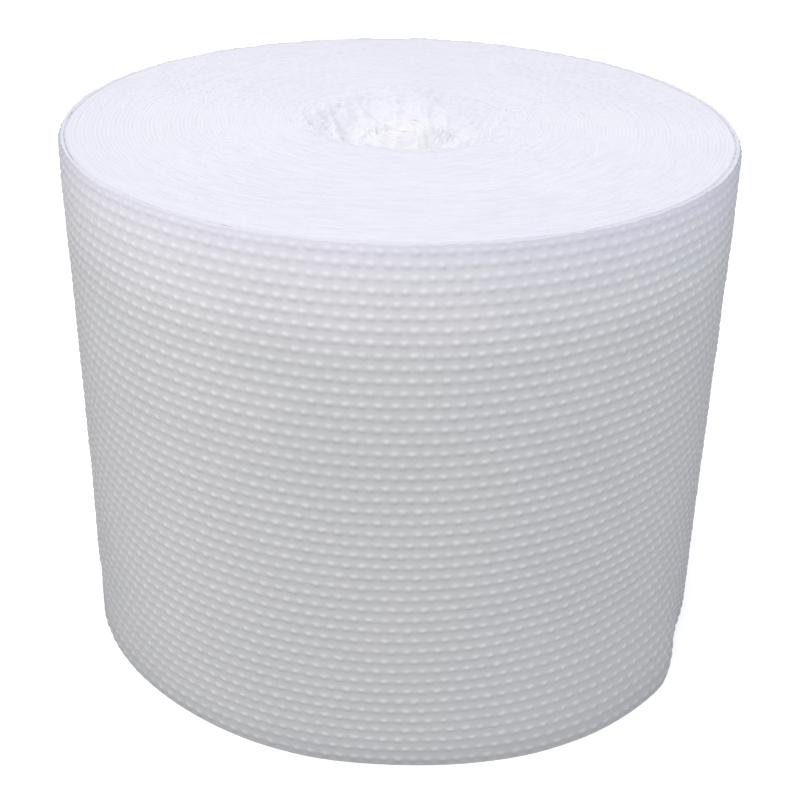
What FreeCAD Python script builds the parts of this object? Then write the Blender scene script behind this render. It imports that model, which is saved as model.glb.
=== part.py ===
import FreeCAD, Part
import math
import os
import Sketcher

# Bubble wrap roll: one length of film wound on itself, standing on its end.
# Millimetres, +Z up, origin under the middle of the roll, free end of the film at +Y.
# The film winds outwards anticlockwise, seen from above.

SIZES = {
    # Whole roll
    "roll_diameter": 500,
    "film_width": 400,
    # Rows of bubbles round the side, each one a ridge
    "row_pitch": 8.7,
    "row_depth": 3,
    # Step where the film's free end lies on the turn below
    "film_lap": 4,
    # Turns in the upper end, with a furrow between each two
    "top_turn_pitch": 35,
    "top_furrow_depth": 5,
    "top_rim_land": 6,
    # Turns in the lower end
    "base_turn_pitch": 46,
    "base_furrow_depth": 4,
    "base_rim_land": 40,
    # Width of a furrow, and the flat film between the hollow and the first one
    "furrow_width": 4,
    "hollow_land": 8,
    # Hollow that the innermost turns sink into, at both ends
    "hollow_radius": 86,
    "hollow_floor_radius": 30,
    "hollow_step_slope": 1,
    "top_hollow_depth": 28,
    "base_hollow_depth": 18,
    # Innermost turn, pressed flat into a closed loop
    "loop_length": 66,
    "loop_width": 28,
    "loop_wall": 4,
    "loop_below_top": 10,
    "loop_angle": 24,
}

# Flats round the side, each about five bubbles wide
FLATS = 32

# Turns that step down into each end's hollow
HOLLOW_STEP_COUNT = {"top": 3, "base": 2}

# How far the outlines that cut the ends reach past them
OVERCUT = 5

# How deep the innermost loop is sunk into the floor of its hollow
LOOP_SEAT = 2

doc = FreeCAD.newDocument("bubble_wrap_roll")
sheet = doc.addObject("Spreadsheet::Sheet", "Sizes")
for line, (alias, value) in enumerate(SIZES.items(), start=1):
    sheet.set(f"A{line}", alias.replace("_", " "))
    sheet.set(f"B{line}", str(value))
    sheet.setAlias(f"B{line}", alias)
doc.recompute()

# Lengths that follow from the driving sizes, as expressions of the sheet's cells
SIDE_RADIUS = "(Sizes.roll_diameter / 2 - Sizes.film_lap / 2)"
TOP = "Sizes.film_width"
BASE = "0"
CENTRE = "0"


def value_of(expression):
    """The number that an expression of the sheet's cells comes to."""
    return float(sheet.evalExpression(expression))


def row_outline(radius, height):
    """Outline of the roll at one height: it widens over one turn, and steps in at the free end."""
    lap = value_of("Sizes.film_lap")
    corners = []
    for corner in range(FLATS + 1):
        share = corner / FLATS
        reach = radius + lap * share
        angle = math.pi / 2 + 2 * math.pi * share
        corners.append(FreeCAD.Vector(reach * math.cos(angle), reach * math.sin(angle), height))
    return Part.makePolygon(corners + corners[:1])


def wound_drum():
    """The roll before its ends are shaped, with a ridge for each row of bubbles."""
    width = value_of(TOP)
    rows = round(width / value_of("Sizes.row_pitch"))
    crest = value_of(SIDE_RADIUS)
    valley = crest - value_of("Sizes.row_depth")
    outlines = []
    for edge in range(2 * rows + 1):
        radius = crest if edge % 2 else valley
        outlines.append(row_outline(radius, width * edge / (2 * rows)))
    drum = doc.addObject("Part::Feature", "wound_drum")
    drum.Shape = Part.makeLoft(outlines, True, True)
    return drum


def origin_plane(body, role):
    """One of the body's own origin planes."""
    return next(plane for plane in body.Origin.OriginFeatures if plane.Role == role)


def bind(sketch, constraint, expression):
    """Add a dimension to the sketch and tie it to an expression."""
    index = sketch.addConstraint(constraint)
    sketch.setExpression(f"Constraints[{index}]", expression)


def place_end(sketch, line, end, y, z):
    """Tie one end of a line to the expressions y and z."""
    bind(sketch, Sketcher.Constraint("DistanceX", -1, 1, line, end, value_of(y)), y)
    bind(sketch, Sketcher.Constraint("DistanceY", -1, 1, line, end, value_of(z)), z)


def section_sketch(body, name, corners, centre):
    """Closed outline on the YZ plane, with the upright axis through centre that it turns about."""
    sketch = body.newObject("Sketcher::SketchObject", name)
    sketch.AttachmentSupport = [(origin_plane(body, "YZ_Plane"), "")]
    sketch.MapMode = "FlatFace"
    foot = FreeCAD.Vector(value_of(centre), 0, 0)
    head = FreeCAD.Vector(value_of(centre), value_of(TOP), 0)
    axis = sketch.addGeometry(Part.LineSegment(foot, head), True)
    place_end(sketch, axis, 1, centre, BASE)
    place_end(sketch, axis, 2, centre, TOP)
    points = [FreeCAD.Vector(value_of(y), value_of(z), 0) for y, z in corners]
    ends = points[1:] + points[:1]
    lines = [sketch.addGeometry(Part.LineSegment(a, b), False) for a, b in zip(points, ends)]
    for index, (y, z) in enumerate(corners):
        meeting = Sketcher.Constraint("Coincident", lines[index - 1], 2, lines[index], 1)
        sketch.addConstraint(meeting)
        place_end(sketch, lines[index], 1, y, z)
    return sketch


def furrow_corners(end, centre, height):
    """What is cut out of one end between its turns: a comb with one tooth for each furrow.

    height turns a depth inside that end into a height on the roll.
    """
    pitch = f"Sizes.{end}_turn_pitch"
    depth = f"Sizes.{end}_furrow_depth"
    first = "(Sizes.hollow_radius + Sizes.hollow_land)"
    rim = f"({SIDE_RADIUS} - Sizes.row_depth - Sizes.{end}_rim_land)"
    turns = int(value_of(f"({rim} - {first}) / {pitch}"))
    reach = f"(Sizes.furrow_width / 2 * (1 + {OVERCUT} / {depth}))"
    root = height(f"(-{OVERCUT})")
    corners = []
    for turn in range(turns):
        tip = f"({first} + {turn} * {pitch} + 2 * {centre})"
        corners += [(f"({tip} - {reach})", root), (tip, height(depth)), (f"({tip} + {reach})", root)]
    back = height(f"(-2 * {OVERCUT})")
    return [(corners[0][0], back)] + corners + [(corners[-1][0], back)]


def hollow_corners(end, height):
    """What is cut for the hollow of one end: one step down for each turn."""
    steps = round(HOLLOW_STEP_COUNT[end])
    tread = f"((Sizes.hollow_radius - Sizes.hollow_floor_radius) / {steps})"
    rise = f"(Sizes.{end}_hollow_depth / {steps})"
    corners = [("Sizes.hollow_radius", height(f"(-{OVERCUT})"))]
    for step in range(steps):
        edge = f"(Sizes.hollow_radius - {step} * {tread})"
        corners.append((edge, height(f"({step} * {rise})")))
        corners.append((f"({edge} - Sizes.hollow_step_slope)", height(f"({step + 1} * {rise})")))
    corners.append((CENTRE, height(f"Sizes.{end}_hollow_depth")))
    corners.append((CENTRE, height(f"(-{OVERCUT})")))
    return corners


def sweep_round(body, name, corners, centre, angle, clockwise):
    """Sweep an outline on the +Y side round the upright axis through centre."""
    sweep = body.newObject("PartDesign::Revolution", name)
    sweep.Profile = section_sketch(body, name + "_section", corners, centre)
    sweep.ReferenceAxis = (sweep.Profile[0], ["Axis0"])
    sweep.Angle = angle
    sweep.Reversed = clockwise
    doc.recompute()


def end_furrows(end, height):
    """What one end loses between its turns, and in its hollow.

    Each turn is half a circle about the middle, then half a circle about a moved centre.
    """
    moved = f"(Sizes.{end}_turn_pitch / 2)"
    furrows = doc.addObject("PartDesign::Body", f"{end}_furrows")
    sweep_round(furrows, f"{end}_left", furrow_corners(end, CENTRE, height), CENTRE, 180, False)
    sweep_round(furrows, f"{end}_right", furrow_corners(end, moved, height), moved, 180, True)
    hollow = doc.addObject("PartDesign::Body", f"{end}_hollow")
    sweep_round(hollow, f"{end}_steps", hollow_corners(end, height), CENTRE, 360, False)
    return furrows.Shape, hollow.Shape


def below_top(depth):
    return f"({TOP} - {depth})"


def above_base(depth):
    return f"({BASE} + {depth})"


def add_slot(sketch, length, width):
    """Round-ended outline about the sketch's origin, tied to its length and width."""
    radius = value_of(width) / 2
    reach = value_of(length) / 2 - radius
    along = FreeCAD.Vector(reach, 0, 0)
    across = FreeCAD.Vector(0, radius, 0)
    normal = FreeCAD.Vector(0, 0, 1)
    quarter = math.pi / 2
    near = sketch.addGeometry(Part.LineSegment(-along - across, along - across), False)
    right = sketch.addGeometry(Part.ArcOfCircle(Part.Circle(along, normal, radius), -quarter, quarter))
    far = sketch.addGeometry(Part.LineSegment(along + across, -along + across), False)
    left = sketch.addGeometry(Part.ArcOfCircle(Part.Circle(-along, normal, radius), quarter, 3 * quarter))
    for first, second in ((near, right), (right, far), (far, left), (left, near)):
        sketch.addConstraint(Sketcher.Constraint("Tangent", first, 2, second, 1))
    sketch.addConstraint(Sketcher.Constraint("Symmetric", left, 3, right, 3, -1, 1))
    sketch.addConstraint(Sketcher.Constraint("PointOnObject", right, 3, -1))
    bind(sketch, Sketcher.Constraint("Radius", right, radius), f"{width} / 2")
    bind(sketch, Sketcher.Constraint("DistanceX", -1, 1, right, 3, reach), f"({length} - {width}) / 2")


def inner_loop():
    """The innermost turn, pressed flat: a closed loop that stands in the upper hollow."""
    floor = f"({TOP} - Sizes.top_hollow_depth)"
    body = doc.addObject("PartDesign::Body", "inner_loop")
    sketch = body.newObject("Sketcher::SketchObject", "inner_loop_outline")
    sketch.AttachmentSupport = [(origin_plane(body, "XY_Plane"), "")]
    sketch.MapMode = "FlatFace"
    turned = FreeCAD.Rotation(FreeCAD.Vector(0, 0, 1), value_of("Sizes.loop_angle"))
    sketch.AttachmentOffset = FreeCAD.Placement(FreeCAD.Vector(0, 0, 0), turned)
    sketch.setExpression("AttachmentOffset.Base.z", f"{floor} - {LOOP_SEAT}")
    add_slot(sketch, "Sizes.loop_length", "Sizes.loop_width")
    wall = "2 * Sizes.loop_wall"
    add_slot(sketch, f"(Sizes.loop_length - {wall})", f"(Sizes.loop_width - {wall})")
    loop = body.newObject("PartDesign::Pad", "inner_loop_height")
    loop.Profile = sketch
    loop.setExpression("Length", f"{TOP} - Sizes.loop_below_top - {floor} + {LOOP_SEAT}")
    doc.recompute()
    return body


def build_roll():
    """The whole roll: the drum of rows, the turns in both ends and the innermost loop."""
    drum = wound_drum()
    shape = drum.Shape
    for end, height in (("top", below_top), ("base", above_base)):
        for cut_away in end_furrows(end, height):
            shape = shape.cut(cut_away)
    roll = doc.addObject("Part::Feature", "bubble_wrap_roll")
    roll.Label = "bubble_wrap_roll"
    roll.Shape = shape.fuse(inner_loop().Shape)
    aside = value_of("Sizes.film_lap / 4")
    roll.Placement = FreeCAD.Placement(FreeCAD.Vector(-aside, -aside, 0), FreeCAD.Rotation())
    return roll


def write_part(part):
    """Check the document and the solid, then write the solid's file."""
    doc.recompute()
    for item in doc.Objects:
        if "Invalid" in item.State or "Error" in item.State:
            raise ValueError(f"{item.Name} failed")
    shape = part.Shape
    if shape.isNull() or not shape.isValid() or len(shape.Solids) != 1:
        raise ValueError(f"{part.Label} isn't one valid solid")
    shape.exportStep(os.path.join("parts", part.Label + ".step"))
    box = shape.BoundBox
    print(part.Label, round(box.XLength, 1), round(box.YLength, 1), round(box.ZLength, 1),
          "mm,", round(shape.Volume / 1e9, 4), "m3")


os.makedirs("parts", exist_ok=True)
write_part(build_roll())
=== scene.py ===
import math

import bpy
import numpy as np
from mathutils import Matrix, Vector


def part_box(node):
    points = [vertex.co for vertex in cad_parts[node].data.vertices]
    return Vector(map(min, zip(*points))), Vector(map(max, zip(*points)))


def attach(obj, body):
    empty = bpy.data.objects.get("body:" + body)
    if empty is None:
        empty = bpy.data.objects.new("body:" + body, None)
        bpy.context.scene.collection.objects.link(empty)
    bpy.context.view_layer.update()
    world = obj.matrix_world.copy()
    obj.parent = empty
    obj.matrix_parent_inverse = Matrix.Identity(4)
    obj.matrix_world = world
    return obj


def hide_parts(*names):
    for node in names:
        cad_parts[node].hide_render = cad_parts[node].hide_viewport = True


# Bubble wrap roll: the film's bubbles, its edges in both ends and its crumpled middle.
# Metres, +Z up, the same frame as the solids.

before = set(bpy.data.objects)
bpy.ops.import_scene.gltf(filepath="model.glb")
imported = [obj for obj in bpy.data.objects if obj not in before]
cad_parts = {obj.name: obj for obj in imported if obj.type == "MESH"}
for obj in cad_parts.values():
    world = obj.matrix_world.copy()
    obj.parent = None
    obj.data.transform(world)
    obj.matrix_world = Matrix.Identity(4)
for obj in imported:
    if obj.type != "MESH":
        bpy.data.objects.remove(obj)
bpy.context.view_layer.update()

ROLL = "bubble_wrap_roll"
low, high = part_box(ROLL)
HEIGHT = high[2] - low[2]
DIAMETER = high[0] - low[0]

# Film, and the lattice of its bubbles. The side's outline widens by one lap over its outer turn.
FILM_LAP = 0.004
DOME_HEIGHT = 0.0017
DOME_RADIUS = 0.0052
BUBBLE_PITCH = 0.01038
ROW_PITCH = 0.00861
FIRST_ROW_HEIGHT = 0.00861
ROWS = 46
LATTICE_TURN = 0.0267

# The side's outline winds outwards from the free end's foot, at +Y, to the free end
START_ANGLE = math.pi / 2
START_RADIUS = DIAMETER / 2 - FILM_LAP / 2
CENTRE_X = (low[0] + high[0]) / 2 - FILM_LAP / 4
CENTRE_Y = (low[1] + high[1]) / 2 - FILM_LAP / 4
MIDDLE_RADIUS = DIAMETER / 2
BUBBLE_ANGLE = BUBBLE_PITCH / MIDDLE_RADIUS

# Turns in the ends
TURN_PITCH = 0.0030
OUTER_TURN_RADIUS = 0.2470
INNER_TURN_RADIUS = 0.0005

# Each noise below is the size of its features and its shift in this table
SEED = 7
NOISE_CELLS = 256
NOISE_SLANT = 1.7
noise_table = np.random.default_rng(SEED).random((NOISE_CELLS, NOISE_CELLS))
SMALLEST_NORMAL = 1e-12


def smooth_ramp(t):
    """Rises smoothly from 0 at t = 0 to 1 at t = 1."""
    t = np.clip(t, 0, 1)
    return t * t * (3 - 2 * t)


def value_noise(x, y, noise):
    """Smooth noise from -1 to 1."""
    cell, shift = noise
    across = np.asarray(x) / cell + shift
    along = np.asarray(y) / cell + NOISE_SLANT * shift
    column = np.floor(across).astype(int)
    row = np.floor(along).astype(int)
    fx = smooth_ramp(across - column)
    fy = smooth_ramp(along - row)

    def corner(right, up):
        return noise_table[(column + right) % NOISE_CELLS, (row + up) % NOISE_CELLS]

    near = corner(0, 0) * (1 - fx) + corner(1, 0) * fx
    far = corner(0, 1) * (1 - fx) + corner(1, 1) * fx
    return 2 * (near * (1 - fy) + far * fy) - 1


def add_mesh(name, vertices, faces, material, normals=None):
    """A visible piece of the roll, from numpy arrays of vertices and quads."""
    mesh = bpy.data.meshes.new(name)
    mesh.vertices.add(len(vertices))
    mesh.vertices.foreach_set("co", np.asarray(vertices, dtype=np.float32).ravel())
    mesh.loops.add(faces.size)
    mesh.loops.foreach_set("vertex_index", faces.astype(np.int32).ravel())
    mesh.polygons.add(len(faces))
    starts = np.arange(0, faces.size, faces.shape[1], dtype=np.int32)
    mesh.polygons.foreach_set("loop_start", starts)
    mesh.polygons.foreach_set("use_smooth", np.full(len(faces), True))
    mesh.update(calc_edges=True)
    mesh.validate()
    if normals is not None:
        mesh.normals_split_custom_set_from_vertices(normals.tolist())
    piece = bpy.data.objects.new(name, mesh)
    bpy.context.scene.collection.objects.link(piece)
    mesh.materials.append(material)
    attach(piece, "root")
    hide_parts(ROLL)
    return piece


def grid_faces(rows, columns):
    """Quads of a grid of vertices, row by row."""
    first = np.arange(rows - 1)[:, None] * columns + np.arange(columns - 1)[None, :]
    quads = np.stack([first, first + 1, first + columns + 1, first + columns], axis=-1)
    return quads.reshape(-1, 4)


def grid_normals(points):
    """Unit normals of a grid of points, from its own slopes."""
    along = np.gradient(points, axis=1)
    up = np.gradient(points, axis=0)
    normals = np.cross(along, up)
    lengths = np.linalg.norm(normals, axis=-1, keepdims=True)
    return normals / np.maximum(lengths, SMALLEST_NORMAL)


# Side of the roll

COLUMNS_PER_BUBBLE = 8
LINES_PER_ROW = 6
SIDE_BANDS = 4

# Bubbles: their shape, and how their heights, tops and rows stray
DOME_FULLNESS = 2.0
DOME_SHOULDER = 1.25
HEIGHT_SPREAD = 0.07
HEIGHT_LIMITS = (-2, 1.2)
APEX_SPREAD = 0.0004
ROW_WANDER = 0.0008
ROW_NOISE = (0.12, 2.9)
RIDGE_SHARE = 0.44
RIDGE_HALF_HEIGHT = 0.0042
SPARE_ROWS = 4
SPARE_COLUMNS = 8

# The plain film sways a little
BROAD_SWAY = 0.0006
BROAD_NOISE = (0.09, 3.1)
FINE_SWAY = 0.0003
FINE_NOISE = (0.03, 5.7)

# Patch of flattened bubbles: its distance round the side from the front, its height,
# and half its size
PATCH_PLACE = (-0.330, 0.022)
PATCH_SIZE = (0.045, 0.024)
PATCH_FLATTENS = 0.70
PATCH_REACH = 1.2
PATCH_FADE = 0.5
PATCH_RAGGED = 0.25
PATCH_NOISE = (0.02, 1.9)

# The film's lower edge stands off the roll where it was set down: a corner of it on the right,
# by its angle from the front and how far it reaches before and after, and less on the left
FLARE_RIGHT = 0.0172
FLARE_RIGHT_TURN = 0.873
FLARE_BEFORE = 1.02
FLARE_AFTER = 0.29
FLARE_LEFT = 0.0030
FLARE_LEFT_TURN = -1.15
FLARE_LEFT_WIDTH = 0.60
FLARE_HEIGHT = 0.105
FLARE_BEND = 1.25

# Free end: the film under it, its flat margin, its cut edge, which is tucked into the film
# below, and how it lifts off in waves
UNDERLAP = 0.02
END_MARGIN = 0.006
END_EDGE = 0.005
END_TUCK = 0.0012
END_LIFT = 0.0015
END_LIFT_REACH = 0.03
END_WAVE = 0.6
END_WAVE_LENGTH = 0.019
END_SWING = 2
END_SWING_LENGTH = 0.06

# Rims, upper and lower: how far they reach, draw in and flatten their bubbles, and dim
# the painted highlights on them, the upper one's wavy edge, and the folds of both over the ends
RIM_REACH = 0.005
RIM_DRAWN_IN = (0.0006, 0.0012)
RIM_FLATTENS = (0.35, 0.85)
RIM_DIMS_PAINTED_HIGHLIGHTS = 0.5
RIM_WAVE = 0.0012
RIM_WAVE_SPREAD = 0.5
RIM_NOISES = ((0.004, 6.6), (0.015, 3.3))
RIM_FOLD = (0.0005, 0.0014, 0.0030)
RIM_DROP = (0.0000, 0.0006, 0.0016)
RIM_LAP = 0.0008

# Towards the upper rim the painted highlights and shade on the bubbles fade
PAINTED_HIGHLIGHT_FADE_FROM = 0.82
PAINTED_HIGHLIGHT_FADE = 0.42


def on_spiral(share, radius, height):
    """Points at a share of the outer turn, at a distance from its centre and a height."""
    angle = START_ANGLE + 2 * math.pi * share
    x = CENTRE_X + radius * np.cos(angle)
    y = CENTRE_Y + radius * np.sin(angle)
    return np.stack(np.broadcast_arrays(x, y, height), axis=-1)


def dome_heights(share, height):
    """How far each point of the side stands out, and its column and row among the bubbles."""
    angle = START_ANGLE + 2 * math.pi * share + math.pi / 2 - LATTICE_TURN
    wander = ROW_WANDER * value_noise(angle * MIDDLE_RADIUS, height, ROW_NOISE)
    row = (height - FIRST_ROW_HEIGHT + wander) / ROW_PITCH
    place = angle / BUBBLE_ANGLE
    count = int(2 * math.pi / BUBBLE_ANGLE) + SPARE_COLUMNS
    size = (ROWS + SPARE_ROWS, count)
    draw = np.random.default_rng(SEED + 1)
    tallness = 1 + HEIGHT_SPREAD * draw.standard_normal(size).clip(*HEIGHT_LIMITS)
    lean_x = APEX_SPREAD * draw.standard_normal(size)
    lean_z = APEX_SPREAD * draw.standard_normal(size)
    stand = np.zeros(np.broadcast(share, height).shape)
    for above in (0, 1):
        near_row = np.floor(row).astype(int) + above
        odd = near_row % 2
        column = np.round(place - odd / 2).astype(int)
        index = near_row.clip(-1, ROWS) + 1
        slot = column % count
        dx = (place - odd / 2 - column) * BUBBLE_PITCH + lean_x[index, slot]
        dz = (row - near_row) * ROW_PITCH + lean_z[index, slot]
        inside = (1 - (np.hypot(dx, dz) / DOME_RADIUS) ** DOME_FULLNESS).clip(0, 1)
        dome = DOME_HEIGHT * tallness[index, slot] * inside ** DOME_SHOULDER
        stand = np.maximum(stand, dome)
    off_row = (row - np.round(row)) * ROW_PITCH
    ridge = (1 - (off_row / RIDGE_HALF_HEIGHT) ** 2).clip(0, 1)
    stand = np.maximum(stand, RIDGE_SHARE * DOME_HEIGHT * ridge)
    return stand, place + 0 * row, row


def pressed_patch(arc, height):
    """How much of the bubbles is left: they are pressed flat in a patch low on the side."""
    aside = (arc - PATCH_PLACE[0]) / PATCH_SIZE[0]
    above = (height - PATCH_PLACE[1]) / PATCH_SIZE[1]
    away = np.hypot(aside, above) - PATCH_RAGGED * value_noise(arc, height, PATCH_NOISE)
    return 1 - PATCH_FLATTENS * smooth_ramp((PATCH_REACH - away) / PATCH_FADE)


def flare(arc, height):
    """How far the film stands off the roll near its lower edge."""
    turn = arc / MIDDLE_RADIUS
    off = turn - FLARE_RIGHT_TURN
    away = np.where(off < 0, -off / FLARE_BEFORE, off / FLARE_AFTER)
    right = FLARE_RIGHT * smooth_ramp(1 - away)
    left = FLARE_LEFT * smooth_ramp(1 - np.abs(turn - FLARE_LEFT_TURN) / FLARE_LEFT_WIDTH)
    return (right + left) * np.clip(1 - height / FLARE_HEIGHT, 0, 1) ** FLARE_BEND


def end_lift(to_end, height):
    """How far the film lifts off in waves, by the distance to its free end."""
    swing = END_SWING * np.sin(height / END_SWING_LENGTH)
    wave = 1 + END_WAVE * np.sin(height / END_WAVE_LENGTH + swing)
    return END_LIFT * (1 - smooth_ramp(to_end / END_LIFT_REACH)) * wave


def side_points():
    """The outer turn: flat film with its bubbles, one grid from the lower rim to the upper."""
    step = BUBBLE_ANGLE / (2 * math.pi) / COLUMNS_PER_BUBBLE
    in_step = (LATTICE_TURN - START_ANGLE - math.pi / 2) / (2 * math.pi) % step
    share = np.append(np.arange(in_step - UNDERLAP // step * step, 1, step), 1)[None, :]
    height = np.append(np.arange(0, HEIGHT, ROW_PITCH / LINES_PER_ROW), HEIGHT)[:, None]
    arc = 2 * math.pi * share * MIDDLE_RADIUS
    from_front = arc - math.pi * MIDDLE_RADIUS
    to_end = 2 * math.pi * MIDDLE_RADIUS - arc
    upper = height > HEIGHT / 2
    rim = 1 - smooth_ramp(np.minimum(height, HEIGHT - height) / RIM_REACH)

    stand, column, row = dome_heights(share, height)
    kept = smooth_ramp(to_end / END_MARGIN) * pressed_patch(from_front, height)
    stand = stand * (1 - np.where(upper, *RIM_FLATTENS) * rim) * kept
    # How strong the bubbles' painted highlights and shade are: less where the bubbles are pressed
    # flat and at the free end, fading towards the upper rim and dimmed at both rims
    highlight_fading = smooth_ramp((height / HEIGHT - PAINTED_HIGHLIGHT_FADE_FROM) / (1 - PAINTED_HIGHLIGHT_FADE_FROM))
    light = kept * (1 - PAINTED_HIGHLIGHT_FADE * highlight_fading) * (1 - RIM_DIMS_PAINTED_HIGHLIGHTS * rim)
    lattice = np.stack([column, row, light], axis=-1)

    sway = BROAD_SWAY * value_noise(arc, height, BROAD_NOISE)
    sway = sway + FINE_SWAY * value_noise(arc, height, FINE_NOISE)
    lift = end_lift(to_end, height)
    flat = START_RADIUS - DOME_HEIGHT + FILM_LAP * share + sway
    radius = flat + stand - np.where(upper, *RIM_DRAWN_IN) * rim + lift + flare(from_front, height)
    radius = radius - (FILM_LAP + END_TUCK + lift) * (1 - smooth_ramp(to_end / END_EDGE))
    wave = sum(value_noise(arc, 0 * arc, noise) for noise in RIM_NOISES)
    ragged = RIM_WAVE * rim * (1 + RIM_WAVE_SPREAD * wave)
    height = height - np.where(upper, ragged, 0)
    return on_spiral(share, radius, height), radius, height, share, lattice


def build_rim(name, outline, share, height, upper, material):
    """The outermost film's cut edge, folded a little inwards over the end."""
    end, down = (HEIGHT, 1) if upper else (0, -1)
    lines = [on_spiral(share, outline, height)]
    for inward, drop in zip(RIM_FOLD, RIM_DROP):
        ragged = (height - end) * (1 - inward / RIM_FOLD[-1])
        lines.append(on_spiral(share, outline - inward, end + ragged - down * drop))
    meeting = OUTER_TURN_RADIUS - TURN_PITCH * (1 - share) - RIM_LAP
    lines.append(on_spiral(share, meeting, end - down * RIM_DROP[-1]))
    points = np.concatenate(lines)
    faces = grid_faces(len(lines), points.shape[1])
    add_mesh(name, points.reshape(-1, 3), faces if upper else faces[:, ::-1], material)


def build_side(material, rim_painted_shade_material):
    """The side in bands of equal height, each a piece of its own, and its two rims."""
    points, radius, height, share, lattice = side_points()
    # The rims take the darker film: painted shade along them
    build_rim("top_rim", radius[-1:], share, height[-1:], True, rim_painted_shade_material)
    build_rim("base_rim", radius[:1], share, height[:1], False, rim_painted_shade_material)
    normals = grid_normals(points)
    lines, columns = points.shape[:2]
    edges = np.linspace(0, lines - 1, SIDE_BANDS + 1).round().astype(int)
    for band in range(SIDE_BANDS):
        part = slice(edges[band], edges[band + 1] + 1)
        faces = grid_faces(part.stop - part.start, columns)
        piece = add_mesh(f"film_side_{band + 1}", points[part].reshape(-1, 3), faces,
                         material, normals=normals[part].reshape(-1, 3))
        # The lattice attribute holds each point's column and row and the strength of its painted
        # highlights and shade
        place = piece.data.attributes.new("lattice", "FLOAT_VECTOR", "POINT")
        place.data.foreach_set("vector", lattice[part].astype(np.float32).ravel())


# Ends of the roll

TOP_LINES_PER_TURN = 3
TOP_COLUMNS = 400
BASE_LINES_PER_TURN = 2
BASE_COLUMNS = 200
SMALLEST_RADIUS = 0.0004

# Within a turn, as shares of it: the bubbles' scalloped edge, and the gap to the next turn
SCALLOP_PLACE = 0.4
SCALLOP_REACH = 0.3
GAP_PLACE = 0.8
GAP_REACH = 0.30

# Scallops: their depth as a share of a turn, and how they stray
SCALLOP = 0.126
SCALLOP_SPREAD = 0.09
SCALLOP_NOISE = (0.02, 5.2)
SCALLOP_JITTER = 1.5
JITTER_NOISE = (0.09, 7.7)

# How the turns stray from the spiral, more so in the loose middle
EDGES_LOOSE_WITHIN = 1.2
TURN_WANDER = 0.0004
LOOSE_WANDER = 0.0025
WANDER_NOISE = (0.03, 4.4)

# Relief of the film's edges: how high and how ragged they stand over the gaps
EDGE_DEPTH = 0.0004
EDGE_HEIGHT = 0.0010
EDGE_DIP = 0.0022
EDGE_RAGGED = 0.0002
LOOSE_RAGGED = 0.0006
RAGGED_NOISE = (0.012, 6.1)
PRESSED_RADIUS = 0.045
PRESSED_FADE = 0.020
PRESSED_HEIGHT = 0.0022

# The hollow in the middle, and how the ends sag
HOLLOW_RADIUS = 0.080
FLOOR_OF_HOLLOW = 0.036
TOP_HOLLOW_DEPTH = 0.019
BASE_HOLLOW_DEPTH = 0.014
SAG = 0.0004
SAG_NOISE = (0.045, 2.3)
SAG_LOOSE_WITHIN = 1.3
LOOSE_SAG = 0.0022
LOOSE_SAG_NOISE = (0.022, 8.9)

# Crumples: broad creases, finer ones as a share of them, and a grain
CRUMPLE_RADIUS = 0.098
CRUMPLE_FADE = 0.035
CRUMPLE_HEIGHT = 0.005
CRUMPLE_LEVEL = 0.8
CREASE_SLANT = 0.4
CREASE_NOISE = (0.016, 9.3)
FINE_CREASES = 0.5
FINE_CREASE_SLANT = 0.5
FINE_CREASE_NOISE = (0.008, 1.2)
GRAIN = 0.28
GRAIN_NOISE = (0.0045, 3.7)

# The innermost turns are pressed flat along one line. In the upper end they rise to a loop
# with a wavy crevice in it, whose reaches and fades are shares of half the loop.
SQUASH_RADIUS = 0.080
SQUASH_ANGLE = math.radians(24)
SQUASH_LENGTHENS = 0.30
SQUASH_NARROWS = 0.50
LOOP_LENGTH = 0.060
LOOP_WIDTH = 0.022
LOOP_RISE = 0.011
LOOP_REACH = 1.6
LOOP_FADE = 0.8
CREVICE_DEPTH = 0.0025
CREVICE_WAVE = 0.2
CREVICE_WAVES = 5
CREVICE_WIDTH = 0.5
CREVICE_REACH = 0.9
CREVICE_FADE = 0.5


def along_squash(x, y, way=1):
    """Turn by SQUASH_ANGLE, to measure along and across the squash, or back with way = -1."""
    cos, sin = math.cos(SQUASH_ANGLE), way * math.sin(SQUASH_ANGLE)
    return x * cos + y * sin, y * cos - x * sin


def squash(x, y):
    """Press the innermost turns flat."""
    amount = smooth_ramp(1 - np.hypot(x, y) / SQUASH_RADIUS)
    along, across = along_squash(x, y)
    along = along * (1 + SQUASH_LENGTHENS * amount)
    across = across * (1 - SQUASH_NARROWS * amount)
    return along_squash(along, across, way=-1)


def turn_grid(lines_per_turn, columns):
    """Lines that follow the spiral inwards: radius, angle, length of film and share of a turn."""
    turns = (OUTER_TURN_RADIUS - INNER_TURN_RADIUS) / TURN_PITCH
    line = np.arange(int(turns * lines_per_turn))[:, None]
    sweep = np.linspace(0, 1, columns + 1)[None, :]
    radius = OUTER_TURN_RADIUS - TURN_PITCH * (line / lines_per_turn + sweep)
    radius = np.maximum(radius, SMALLEST_RADIUS)
    angle = START_ANGLE - 2 * math.pi * sweep
    length = math.pi * (OUTER_TURN_RADIUS ** 2 - radius ** 2) / TURN_PITCH
    part = (line % lines_per_turn) / lines_per_turn + 0 * sweep
    return radius, angle, length, part


def scallops(radius, length, part):
    """How far the bubbles push the film's edge in and out."""
    bubbles = smooth_ramp(1 - np.abs(part - SCALLOP_PLACE) / SCALLOP_REACH)
    jitter = SCALLOP_JITTER * value_noise(length, radius, JITTER_NOISE)
    swell = SCALLOP + SCALLOP_SPREAD * value_noise(length, radius, SCALLOP_NOISE)
    phase = 2 * math.pi * length / BUBBLE_PITCH + jitter
    return TURN_PITCH * swell * bubbles * np.sin(phase)


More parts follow.
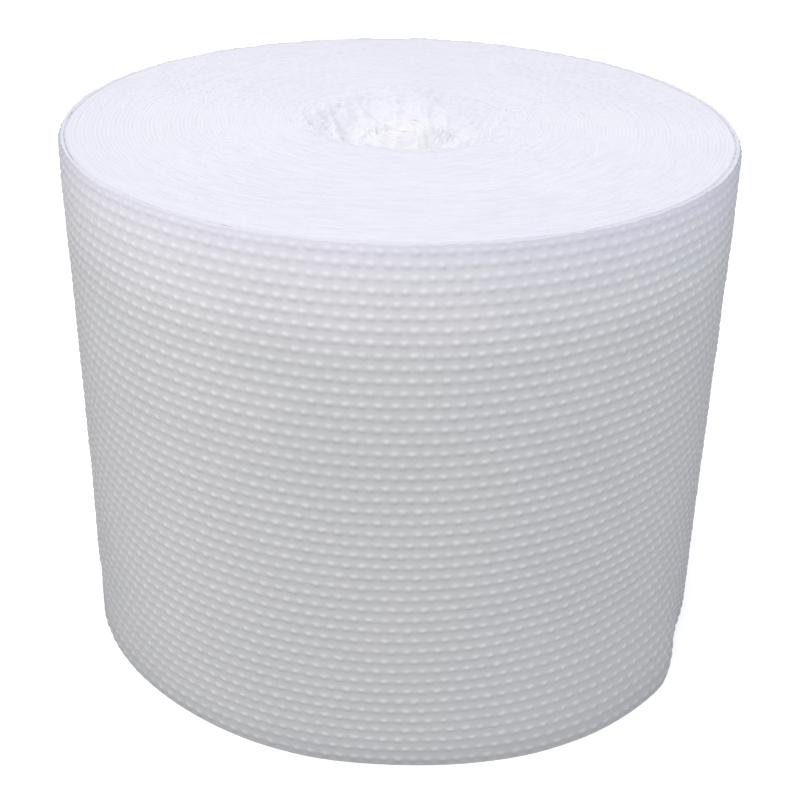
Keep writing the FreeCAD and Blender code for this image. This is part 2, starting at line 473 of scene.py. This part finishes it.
def hollow(x, y, radius, depth):
    """How far the end has sunk below the rim."""
    sunk = smooth_ramp((HOLLOW_RADIUS - radius) / (HOLLOW_RADIUS - FLOOR_OF_HOLLOW))
    loose = smooth_ramp(SAG_LOOSE_WITHIN - radius / HOLLOW_RADIUS)
    sag = SAG * (1 + value_noise(x, y, SAG_NOISE))
    return depth * sunk + sag + loose * LOOSE_SAG * (1 + value_noise(x, y, LOOSE_SAG_NOISE))


def crumples(x, y, radius):
    """How far the crumpled film stands up in the middle."""
    fold = smooth_ramp((CRUMPLE_RADIUS - radius) / CRUMPLE_FADE)
    broad = 1 - np.abs(value_noise(x + CREASE_SLANT * y, y, CREASE_NOISE))
    fine = 1 - np.abs(value_noise(x, y - FINE_CREASE_SLANT * x, FINE_CREASE_NOISE))
    creases = broad + FINE_CREASES * fine + GRAIN * value_noise(x, y, GRAIN_NOISE)
    return fold * CRUMPLE_HEIGHT * (creases - CRUMPLE_LEVEL)


def pressed_loop(x, y):
    """How far the innermost turn stands up, pressed into a loop with a crevice."""
    along, across = along_squash(x, y)
    along = along / (LOOP_LENGTH / 2)
    across = across / (LOOP_WIDTH / 2)
    rise = LOOP_RISE * smooth_ramp((LOOP_REACH - np.hypot(along, across)) / LOOP_FADE)
    off_crevice = np.abs(across + CREVICE_WAVE * np.sin(CREVICE_WAVES * along))
    crevice = CREVICE_DEPTH * smooth_ramp(1 - off_crevice / CREVICE_WIDTH)
    return rise - crevice * smooth_ramp((CREVICE_REACH - np.abs(along)) / CREVICE_FADE)


def build_end(name, lines_per_turn, columns, material, upper):
    """One end: the cut edges of every turn, pressed flat and crumpled in the middle.

    Along each turn run the edge of the flat film, the scalloped edge of the bubbles and the gap
    to the next turn, so every line of the grid follows the spiral inwards.
    """
    radius, angle, length, part = turn_grid(lines_per_turn, columns)
    radius = radius - scallops(radius, length, part)
    loose = smooth_ramp(EDGES_LOOSE_WITHIN - radius / HOLLOW_RADIUS)
    stray = value_noise(radius * np.cos(angle), radius * np.sin(angle), WANDER_NOISE)
    radius = radius + (TURN_WANDER + LOOSE_WANDER * loose) * stray
    x, y = squash(radius * np.cos(angle), radius * np.sin(angle))

    gap = smooth_ramp(1 - np.abs(part - GAP_PLACE) / GAP_REACH)
    pressed = smooth_ramp((PRESSED_RADIUS - radius) / PRESSED_FADE)
    ragged = (EDGE_RAGGED + LOOSE_RAGGED * loose) * value_noise(length, radius, RAGGED_NOISE)
    below = EDGE_DEPTH + (EDGE_HEIGHT + PRESSED_HEIGHT * pressed) * gap + ragged
    below = below + hollow(x, y, radius, TOP_HOLLOW_DEPTH if upper else BASE_HOLLOW_DEPTH)
    below[0] = below[0] + EDGE_DIP
    below = below - crumples(x, y, radius)
    if upper:
        below = below - pressed_loop(x, y)

    height = HEIGHT - below if upper else np.maximum(below, 0)
    points = np.stack([CENTRE_X + x, CENTRE_Y + y, height], axis=-1)
    normals = grid_normals(points)
    outward = np.where((normals[..., 2:] > 0) == upper, 1, -1)
    faces = grid_faces(*radius.shape)
    add_mesh(name, points.reshape(-1, 3), faces[:, ::-1] if upper else faces, material,
             normals=(normals * outward).reshape(-1, 3))


# Materials

# Painted highlights and shade on the side's bubbles, standing in for the light they catch:
# a painted highlight on each bubble, a fainter painted highlight along the row and painted
# shade under the row. Each painted highlight has its own brightness, down to the dullest, and its
# own place.
PAINTED_HIGHLIGHT_GAIN = 0.28
PAINTED_HIGHLIGHT_RISE = 0.0008
PAINTED_HIGHLIGHT_HALF_WIDTH = 0.0026
PAINTED_HIGHLIGHT_HALF_HEIGHT = 0.0014
PAINTED_HIGHLIGHT_DULLEST = 0.62
PAINTED_HIGHLIGHT_WANDER = 0.0010
PAINTED_ROW_HIGHLIGHT_GAIN = 0.03
PAINTED_ROW_HIGHLIGHT_HALF_HEIGHT = 0.0018
SHADE_LOSS = 0.06
SHADE_DROP = 0.0026
SHADE_HALF_HEIGHT = 0.0014

# Film: slow mottling between two tints, fine haze in its gloss, and wrinkles in its coat
MOTTLE_SCALE = 9
MOTTLE_DETAIL = 5
MOTTLE_REACH = (0.32, 0.68)
HAZE_SCALE = 160
HAZE_DETAIL = 3
GLOSSIER = 0.08
DULLER = 0.10
WRINKLE_STRENGTH = 0.25
WRINKLE_DEPTH = 0.0006
FILM_IOR = 1.5
FILM_SPECULAR = 0.15

# Painted light and shade on the film, as (place, colour): by height on the side, painted shade
# towards the floor and painted light towards the upper rim, and by distance from the axis in the
# ends, painted light in the middle; both as shares of the roll's height
# Side: painted shade near the floor, painted light (above white) towards the upper rim
SIDE_PAINTED_LIGHT = (
    (0.0, (0.80, 0.805, 0.825)),
    (0.07, (0.915, 0.915, 0.922)),
    (0.60, (0.935, 0.935, 0.935)),
    (0.78, (0.975, 0.975, 0.98)),
    (0.90, (1.12, 1.11, 1.15)),
    (0.955, (1.19, 1.175, 1.25)),
    (0.985, (1.22, 1.20, 1.32)),
    (1.0, (1.23, 1.21, 1.32)),
)
# Ends: painted light, brightest (above white) in the middle
END_PAINTED_LIGHT = (
    (0.0, (1.20, 1.19, 1.12)),
    (0.05, (1.11, 1.11, 1.09)),
    (0.20, (0.97, 0.97, 1.0)),
    (1.0, (0.965, 0.965, 1.0)),
)
RIM_LIGHT = ((0.0, (1, 1, 1)), (1.0, (1, 1, 1)))

# Floor: its colour as the roll sees it and as the camera sees it
FLOOR_BOUNCE = (0.40, 0.40, 0.42)
FLOOR_ROUGHNESS = 0.9
FLOOR_SEEN = (0.9, 0.9, 0.9)
FLOOR_GLOW = 0.36


def node_material(name):
    """A material, with its node tree and its main shader."""
    material = bpy.data.materials.new(name)
    material.use_nodes = True
    return material, material.node_tree, material.node_tree.nodes["Principled BSDF"]


def maths_node(tree, kind, operation, values):
    """A maths node of either kind, on sockets or constants."""
    node = tree.nodes.new(kind)
    node.operation = operation
    for socket, value in zip(node.inputs, values):
        if isinstance(value, bpy.types.NodeSocket):
            tree.links.new(value, socket)
        else:
            socket.default_value = value
    return node


def calc(tree, operation, *values):
    """One operation on numbers, by its result."""
    return maths_node(tree, "ShaderNodeMath", operation, values).outputs["Value"]


def vector_calc(tree, operation, *values):
    """One operation on vectors, by its result."""
    return maths_node(tree, "ShaderNodeVectorMath", operation, values).outputs["Vector"]


def noise_texture(tree, place, scale, detail):
    """Noise of one scale."""
    noise = tree.nodes.new("ShaderNodeTexNoise")
    noise.inputs["Scale"].default_value = scale
    noise.inputs["Detail"].default_value = detail
    tree.links.new(place, noise.inputs["Vector"])
    return noise.outputs["Fac"]


def colour_ramp(tree, factor, stops, interpolation):
    """A colour that changes with a factor, through stops of (place, colour)."""
    ramp = tree.nodes.new("ShaderNodeValToRGB")
    ramp.color_ramp.interpolation = interpolation
    elements = ramp.color_ramp.elements
    while len(elements) < len(stops):
        elements.new(0.5)
    for element, (position, colour) in zip(elements, stops):
        element.position = position
        element.color = (*colour, 1)
    tree.links.new(factor, ramp.inputs["Fac"])
    return ramp.outputs["Color"]


def smoothed_normal(tree, place, side, evened):
    """The surface's normal, drawn towards the plain roll's: light evens out inside the film."""
    axes, middle = ((1, 1, 0), 0) if side else ((0, 0, 1), HEIGHT / 2)
    plain = vector_calc(tree, "MULTIPLY_ADD", place, axes, (0, 0, -middle))
    surface = tree.nodes.new("ShaderNodeNewGeometry")
    mix = tree.nodes.new("ShaderNodeMix")
    mix.data_type = "VECTOR"
    mix.inputs["Factor"].default_value = evened
    tree.links.new(surface.outputs["Normal"], mix.inputs["A"])
    tree.links.new(vector_calc(tree, "NORMALIZE", plain), mix.inputs["B"])
    return vector_calc(tree, "NORMALIZE", mix.outputs["Result"])


def hump(tree, distance, centre, half_width):
    """Height of a smooth hump, 1 at its centre."""
    away = calc(tree, "DIVIDE", calc(tree, "SUBTRACT", distance, centre), half_width)
    square = calc(tree, "MULTIPLY", away, away)
    return calc(tree, "EXPONENT", calc(tree, "MULTIPLY", square, -1))


def bubble_draws(tree, column, row):
    """Three random numbers from 0 to 1 for each bubble."""
    bubble = tree.nodes.new("ShaderNodeCombineXYZ")
    tree.links.new(column, bubble.inputs["X"])
    tree.links.new(row, bubble.inputs["Y"])
    noise = tree.nodes.new("ShaderNodeTexWhiteNoise")
    tree.links.new(bubble.outputs["Vector"], noise.inputs["Vector"])
    draws = tree.nodes.new("ShaderNodeSeparateColor")
    tree.links.new(noise.outputs["Color"], draws.inputs["Color"])
    return draws.outputs


def painted_bubble_light(tree):
    """Painted highlights and shade on the film at a point, from its place among the bubbles."""
    place = tree.nodes.new("ShaderNodeAttribute")
    place.attribute_name = "lattice"
    parts = tree.nodes.new("ShaderNodeSeparateXYZ")
    tree.links.new(place.outputs["Vector"], parts.inputs[0])
    # The third part is how strong the painted highlights and shade are at this point
    column, row, kept = parts.outputs
    near_row = calc(tree, "ROUND", row)
    half = calc(tree, "MULTIPLY", calc(tree, "MODULO", near_row, 2), 0.5)
    column = calc(tree, "SUBTRACT", column, half)
    near_column = calc(tree, "ROUND", column)
    across = calc(tree, "SUBTRACT", column, near_column)
    across = calc(tree, "MULTIPLY", across, BUBBLE_PITCH)
    up = calc(tree, "MULTIPLY", calc(tree, "SUBTRACT", row, near_row), ROW_PITCH)

    first, second, third = bubble_draws(tree, near_column, near_row)
    aside = calc(tree, "MULTIPLY_ADD", first, PAINTED_HIGHLIGHT_WANDER, -PAINTED_HIGHLIGHT_WANDER / 2)
    lowest = PAINTED_HIGHLIGHT_RISE - PAINTED_HIGHLIGHT_WANDER / 4
    raised = calc(tree, "MULTIPLY_ADD", second, PAINTED_HIGHLIGHT_WANDER / 2, lowest)
    dullest = PAINTED_HIGHLIGHT_GAIN * PAINTED_HIGHLIGHT_DULLEST
    bright = calc(tree, "MULTIPLY_ADD", third, PAINTED_HIGHLIGHT_GAIN - dullest, dullest)
    # A painted highlight on each bubble, a fainter painted highlight along its row and painted
    # shade under the row
    painted_highlight = calc(tree, "MULTIPLY", hump(tree, across, aside, PAINTED_HIGHLIGHT_HALF_WIDTH),
                hump(tree, up, raised, PAINTED_HIGHLIGHT_HALF_HEIGHT))
    painted_highlight = calc(tree, "MULTIPLY", painted_highlight, bright)
    line = calc(tree, "MULTIPLY", hump(tree, up, PAINTED_HIGHLIGHT_RISE, PAINTED_ROW_HIGHLIGHT_HALF_HEIGHT), PAINTED_ROW_HIGHLIGHT_GAIN)
    shade = calc(tree, "MULTIPLY", hump(tree, up, -SHADE_DROP, SHADE_HALF_HEIGHT), SHADE_LOSS)
    light = calc(tree, "SUBTRACT", calc(tree, "ADD", painted_highlight, line), shade)
    return calc(tree, "MULTIPLY_ADD", light, kept, 1)


def painted_lightness(tree, place, side, stops):
    """Painted light and shade on the film, by height on the side, or by distance from the axis in
    the ends.
    """
    if side:
        parts = tree.nodes.new("ShaderNodeSeparateXYZ")
        tree.links.new(place, parts.inputs[0])
        measure = parts.outputs["Z"]
    else:
        flat = vector_calc(tree, "MULTIPLY", place, (1, 1, 0))
        measure = maths_node(tree, "ShaderNodeVectorMath", "LENGTH", (flat,)).outputs["Value"]
    return colour_ramp(tree, calc(tree, "DIVIDE", measure, HEIGHT), stops, "EASE")


def film_colour(tree, place, side, tints, stops):
    """The film's mottled tints, times its painted light and shade, and on the side times the
    bubbles' painted highlights and shade.
    """
    mottle = noise_texture(tree, place, MOTTLE_SCALE, MOTTLE_DETAIL)
    tint = colour_ramp(tree, mottle, tuple(zip(MOTTLE_REACH, tints)), "LINEAR")
    blend = tree.nodes.new("ShaderNodeMix")
    blend.data_type = "RGBA"
    blend.blend_type = "MULTIPLY"
    blend.inputs["Factor"].default_value = 1
    tree.links.new(tint, blend.inputs["A"])
    tree.links.new(painted_lightness(tree, place, side, stops), blend.inputs["B"])
    if not side:
        return blend.outputs["Result"]
    lit = tree.nodes.new("ShaderNodeVectorMath")
    lit.operation = "SCALE"
    tree.links.new(blend.outputs["Result"], lit.inputs[0])
    tree.links.new(painted_bubble_light(tree), lit.inputs["Scale"])
    return lit.outputs["Vector"]


def film_material(name, side, deep, pale, roughness, coat, evened, stops):
    """Milky polyethylene film: soft gloss, slight mottling, painted light and shade, and fine
    wrinkles.
    """
    material, tree, shader = node_material(name)
    place = tree.nodes.new("ShaderNodeTexCoord").outputs["Object"]
    colour = film_colour(tree, place, side, (deep, pale), stops)
    tree.links.new(colour, shader.inputs["Base Color"])
    haze = noise_texture(tree, place, HAZE_SCALE, HAZE_DETAIL)
    gloss = tree.nodes.new("ShaderNodeMapRange")
    gloss.inputs["To Min"].default_value = roughness - GLOSSIER
    gloss.inputs["To Max"].default_value = roughness + DULLER
    tree.links.new(haze, gloss.inputs["Value"])
    tree.links.new(gloss.outputs["Result"], shader.inputs["Roughness"])
    wrinkle = tree.nodes.new("ShaderNodeBump")
    wrinkle.inputs["Strength"].default_value = WRINKLE_STRENGTH
    wrinkle.inputs["Distance"].default_value = WRINKLE_DEPTH
    tree.links.new(haze, wrinkle.inputs["Height"])
    tree.links.new(wrinkle.outputs["Normal"], shader.inputs["Coat Normal"])
    tree.links.new(smoothed_normal(tree, place, side, evened), shader.inputs["Normal"])
    shader.inputs["IOR"].default_value = FILM_IOR
    shader.inputs["Specular IOR Level"].default_value = FILM_SPECULAR
    shader.inputs["Coat Weight"].default_value = coat
    shader.inputs["Coat IOR"].default_value = FILM_IOR
    shader.inputs["Coat Roughness"].default_value = roughness
    return material


def pick_for_camera(tree, unseen, seen, output):
    """One shader for the light on the roll, and another for what the camera sees."""
    path = tree.nodes.new("ShaderNodeLightPath")
    pick = tree.nodes.new("ShaderNodeMixShader")
    tree.links.new(path.outputs["Is Camera Ray"], pick.inputs["Fac"])
    tree.links.new(unseen, pick.inputs[1])
    tree.links.new(seen, pick.inputs[2])
    tree.links.new(pick.outputs["Shader"], tree.nodes[output].inputs["Surface"])


def floor_material():
    """White to the camera apart from the roll's soft shadow, and duller to the roll."""
    material, tree, shader = node_material("floor_white")
    shader.inputs["Base Color"].default_value = (*FLOOR_BOUNCE, 1)
    shader.inputs["Roughness"].default_value = FLOOR_ROUGHNESS
    shader.inputs["Specular IOR Level"].default_value = 0.0
    lit = tree.nodes.new("ShaderNodeBsdfDiffuse")
    lit.inputs["Color"].default_value = (*FLOOR_SEEN, 1)
    glow = tree.nodes.new("ShaderNodeEmission")
    glow.inputs["Strength"].default_value = FLOOR_GLOW
    both = tree.nodes.new("ShaderNodeAddShader")
    tree.links.new(lit.outputs["BSDF"], both.inputs[0])
    tree.links.new(glow.outputs["Emission"], both.inputs[1])
    pick_for_camera(tree, shader.outputs["BSDF"], both.outputs["Shader"], "Material Output")
    return material


# Studio

# Camera: it looks at a point on the axis, then is tilted, panned and rolled by small angles
CAMERA_DISTANCE = 1.0548
CAMERA_ELEVATION = math.radians(26.36)
AIM_HEIGHT = 0.2190
CAMERA_TILT = 0.01059
CAMERA_PAN = -0.04490
CAMERA_ROLL = -0.01591
CAMERA_SHIFT = (-0.0750, -0.1000)
LENS = 58.59
SENSOR = 36
FLOOR_RADIUS = 30
CLIP_END = 4 * FLOOR_RADIUS

WORLD_COLOUR = (0.955, 0.975, 1)
WORLD_STRENGTH = 0.76

# Lamps: name, place, height of the point on the axis they aim at, size, power and colour
LAMPS = (
    ("key", (-1.0, -1.4, 2.8), 0.25, 3.0, 53, (1, 1, 1)),
    ("fill", (2.5, -0.8, 0.95), 0.28, 1.8, 6.5, (0.62, 0.77, 1.0)),
    ("back", (0.2, 2.3, 2.0), 0.35, 2.0, 8.2, (1, 1, 1)),
)


def turned(vector, axis, angle):
    """A vector, turned about an axis."""
    return Matrix.Rotation(angle, 3, axis) @ vector


def add_camera():
    """The photograph's own point of view, found from the lattice of bubbles."""
    back = Vector((0, -math.cos(CAMERA_ELEVATION), math.sin(CAMERA_ELEVATION)))
    place = Vector((0, 0, AIM_HEIGHT)) + CAMERA_DISTANCE * back
    ahead = -back
    right = Vector((1, 0, 0))
    up = right.cross(ahead)
    ahead, up = turned(ahead, right, CAMERA_TILT), turned(up, right, CAMERA_TILT)
    ahead, right = turned(ahead, up, CAMERA_PAN), turned(right, up, CAMERA_PAN)
    up, right = turned(up, ahead, CAMERA_ROLL), turned(right, ahead, CAMERA_ROLL)
    facing = Matrix((right, up, -ahead)).transposed().to_4x4()
    data = bpy.data.cameras.new("camera")
    data.lens = LENS
    data.sensor_width = SENSOR
    data.shift_x, data.shift_y = CAMERA_SHIFT
    data.clip_end = CLIP_END
    camera = bpy.data.objects.new("camera", data)
    camera.matrix_world = Matrix.Translation(place) @ facing
    bpy.context.scene.collection.objects.link(camera)
    bpy.context.scene.camera = camera


def add_softbox(name, place, aim_height, size, power, colour):
    """A square lamp that faces the roll's axis."""
    data = bpy.data.lights.new(name, "AREA")
    data.shape = "SQUARE"
    data.size = size
    data.energy = power
    data.color = colour
    lamp = bpy.data.objects.new(name, data)
    lamp.location = place
    ahead = Vector((0, 0, aim_height)) - Vector(place)
    lamp.rotation_euler = ahead.to_track_quat("-Z", "Y").to_euler()
    bpy.context.scene.collection.objects.link(lamp)


def add_floor():
    """A wide white floor."""
    mesh = bpy.data.meshes.new("floor")
    corners = [(x * FLOOR_RADIUS, y * FLOOR_RADIUS, 0)
               for x, y in ((-1, -1), (1, -1), (1, 1), (-1, 1))]
    mesh.from_pydata(corners, [], [(0, 1, 2, 3)])
    floor = bpy.data.objects.new("floor", mesh)
    bpy.context.scene.collection.objects.link(floor)
    mesh.materials.append(floor_material())


def set_world():
    """Soft light from all sides, and white behind the roll."""
    world = bpy.data.worlds.new("studio")
    bpy.context.scene.world = world
    world.use_nodes = True
    tree = world.node_tree
    soft = tree.nodes["Background"]
    soft.inputs["Color"].default_value = (*WORLD_COLOUR, 1)
    soft.inputs["Strength"].default_value = WORLD_STRENGTH
    white = tree.nodes.new("ShaderNodeBackground")
    white.inputs["Color"].default_value = (1, 1, 1, 1)
    pick_for_camera(tree, soft.outputs["Background"], white.outputs["Background"], "World Output")


add_camera()
add_floor()
set_world()
for lamp_values in LAMPS:
    add_softbox(*lamp_values)
bpy.context.scene.view_settings.view_transform = "Standard"

side_film = film_material(
    "film_side", side=True, deep=(0.733, 0.728, 0.721), pale=(0.766, 0.755, 0.742),
    roughness=0.22, coat=0.5, evened=0.95, stops=SIDE_PAINTED_LIGHT)
end_film = film_material(
    "film_end", side=False, deep=(0.744, 0.731, 0.790), pale=(0.768, 0.755, 0.806),
    roughness=0.30, coat=0.3, evened=0.40, stops=END_PAINTED_LIGHT)
# The rim film is darker than the ends: painted shade, a dark line along both rims between the ends
# and the side
rim_film_painted_shade = film_material(
    "film_rim_painted_shade", side=False, deep=(0.64, 0.64, 0.72), pale=(0.70, 0.70, 0.78),
    roughness=0.4, coat=0.1, evened=0.5, stops=RIM_LIGHT)
build_side(side_film, rim_film_painted_shade)
build_end("top_turns", TOP_LINES_PER_TURN, TOP_COLUMNS, end_film, upper=True)
build_end("base_turns", BASE_LINES_PER_TURN, BASE_COLUMNS, end_film, upper=False)
